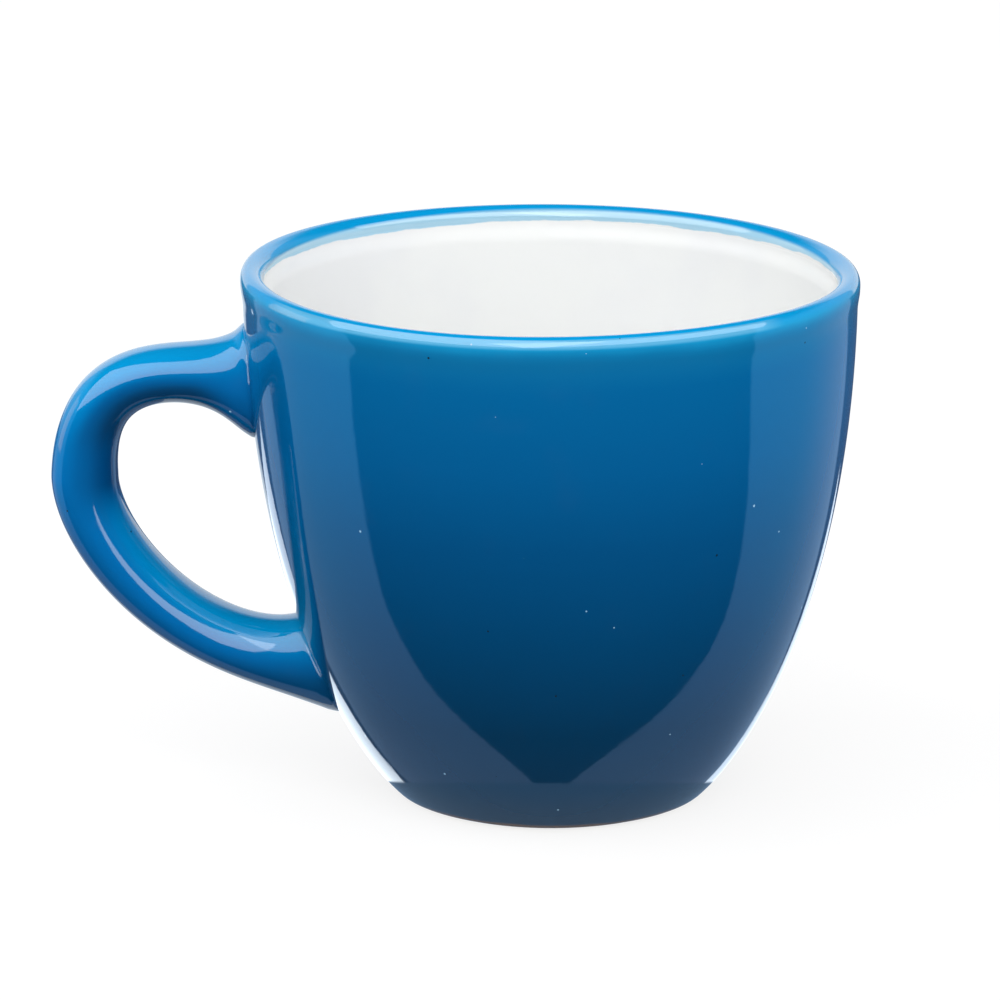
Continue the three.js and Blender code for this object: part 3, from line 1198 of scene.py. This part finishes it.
def crossing(line, gap):
    """Where a line, followed from its root, first stands a gap off the wall: the place along it."""
    after = int(np.argmax(off_wall(line) > gap))
    before = after - 1
    near_gap, far_gap = off_wall(line[[before, after]])
    return before + (gap - near_gap) / (far_gap - near_gap)


def along(line, places):
    """Points at fractional places along a line."""
    steps = np.arange(len(line))
    return np.stack([np.interp(places, steps, line[:, axis]) for axis in range(3)], axis=1)


def cut_line(line, gap, count):
    """The part of a line that stands more than a gap off the wall, as evenly spaced points."""
    first = crossing(line, gap)
    last = len(line) - 1 - crossing(line[::-1], gap)
    cut = along(line, np.linspace(first, last, points_per_ring * count))
    gone = path_length(cut)
    even = np.linspace(0, gone[-1], count)
    return np.stack([np.interp(even, gone, cut[:, axis]) for axis in range(3)], axis=1)


def root_end(line):
    """The rounded end of a line at its root: from the crease on the wall up to where the line goes on."""
    start, edge = along(line, [crossing(line, blunt_start), crossing(line, blunt_edge)])
    from_axis = np.array([edge[0], edge[1], 0]) / math.hypot(edge[0], edge[1])
    crease = edge - from_axis * (blunt_edge + root_sunk)
    return curve(crease, edge, edge, start, blunt_rings)


def finished_line(line, count):
    """One line of the handle, from its crease at the upper root to its crease at the lower root."""
    lower_end = root_end(line[::-1])[::-1]
    return np.concatenate([root_end(line)[:-1], cut_line(line, blunt_start, count), lower_end[1:]])


outside_line = skin_lines[:, 0]
print("the outside line stands off the wall from point", round(crossing(outside_line, blunt_start), 1))

# %% [markdown]
# The handle's coat is a tube: the finished lines outside, and inside them the same lines at the thickness of
# the glaze, from wall to wall. The two are one closed loop of rings.

# %% Glazed handle
handle_rings = 220
hidden_rings = 60


def each_line(lines, shape, *values):
    """A grid of rings from lines that are each shaped in the same way."""
    return np.stack([shape(lines[:, side], *values) for side in range(handle_sides)], axis=1)


def ring_faces(rings, closed):
    """Faces between rings that follow each other, and back to the first ring if they close."""
    faces = []
    for ring in range(rings if closed else rings - 1):
        here = ring * handle_sides
        onward = (ring + 1) % rings * handle_sides
        for side in range(handle_sides):
            beside = (side + 1) % handle_sides
            faces.append((here + side, here + beside, onward + beside, onward + side))
    return faces


skin_grid = each_line(skin_lines, finished_line, handle_rings)
back_grid = each_line(handle_lines(glaze_thickness), cut_line, -root_sunk, hidden_rings)
tube = np.concatenate([skin_grid, back_grid[::-1]])
glazed_handle = piece("glazed_handle", tube.reshape(-1, 3), ring_faces(len(tube), True), handle_glaze)

# %% [markdown]
# Some lamps show on one piece alone. The thin line of light along the handle is a narrow upright lamp in
# front. The white edges low on the cup are a bright sheet behind and below it, and the right band is
# kept to the cup too. A photographer keeps a lamp off the other pieces with black card, and light
# linking is that card here.

# %% Lamps for one piece
def shows_on(lamp, lit):
    """Let a lamp reach one piece only."""
    reach = bpy.data.collections.new(lamp.name + "_reach")
    reach.objects.link(lit)
    lamp.light_linking.receiver_collection = reach
    print(lamp.name, "shows on", lit.name)


strip = softbox("handle_strip", azimuth=6.5, elevation=18, half_width=10.5, half_height=27, glow=2.2,
                lights=False)
sheet = softbox("bright_sheet", azimuth=-175, elevation=-30, half_width=23.5, half_height=13, glow=1.6,
                lights=False)
sheet.data.color = sheet_white[:3]
shows_on(strip, glazed_handle)
shows_on(sheet, glazed_cup)
shows_on(band, glazed_cup)

# %% [markdown]
# Under the coat lie the clay of the handle and, at each root, the pad of slip that glued it on. They are cut
# from the same lines, drawn in further, so that no clay shows in the creases.

# %% Clay of the handle and its slip
clay_gap = 0.35
slip_gap = 0.25
slip_sunk = 0.4
slip_inset = 0.9
clay_rings = 50
slip_rings = 4


def rod(name, lines, finish):
    """A closed rod from a grid of rings: its sides and a flat cap at each end."""
    points = lines.reshape(-1, 3)
    near_cap = tuple(reversed(range(handle_sides)))
    far_cap = tuple(range(len(points) - handle_sides, len(points)))
    return piece(name, points, [near_cap, far_cap] + ring_faces(len(lines), False), finish)


def slip_line(line):
    """A short line through the slip at its first root, from inside the coat to the clay of the handle."""
    return along(line, np.linspace(crossing(line, -slip_sunk), crossing(line, slip_gap), slip_rings))


clay_grid = each_line(handle_lines(coat_build), cut_line, clay_gap, clay_rings)
clay_handle = rod("clay_handle", clay_grid, stoneware)
slip_core = handle_lines(slip_inset)
upper_slip = rod("upper_slip", each_line(slip_core, slip_line), slip)
lower_slip = rod("lower_slip", each_line(slip_core[::-1], slip_line)[::-1], slip)

# %% [markdown]
# ## Riding and standing in
# Nothing on a mug moves, so every piece rides on the one body, root. Each stands in for the CAD node that it
# refines, which is hidden. The table also lists the slot of its material, which nothing here uses.

# %% Ride
stand_ins = [
    (glazed_cup, "outer_glaze", "blue_glaze"),
    (glazed_handle, "outer_glaze", "blue_glaze"),
    (white_lining, "liner_glaze", "white_glaze"),
    (stoneware_cup, "cup_body", "stoneware"),
    (foot_well_glaze, "base_glaze", "blue_glaze"),
    (clay_handle, "handle", "stoneware"),
    (upper_slip, "upper_slip_joint", "slip"),
    (lower_slip, "lower_slip_joint", "slip"),
]
for made, node, slot in stand_ins:
    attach(made, "root")
    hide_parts(node)
print("standing in for", sorted({node for _, node, _ in stand_ins}))

# %% [markdown]
# Only the rim may stand past the CAD model's box, by the waves of a few tenths of a millimetre that the
# drying gave it.
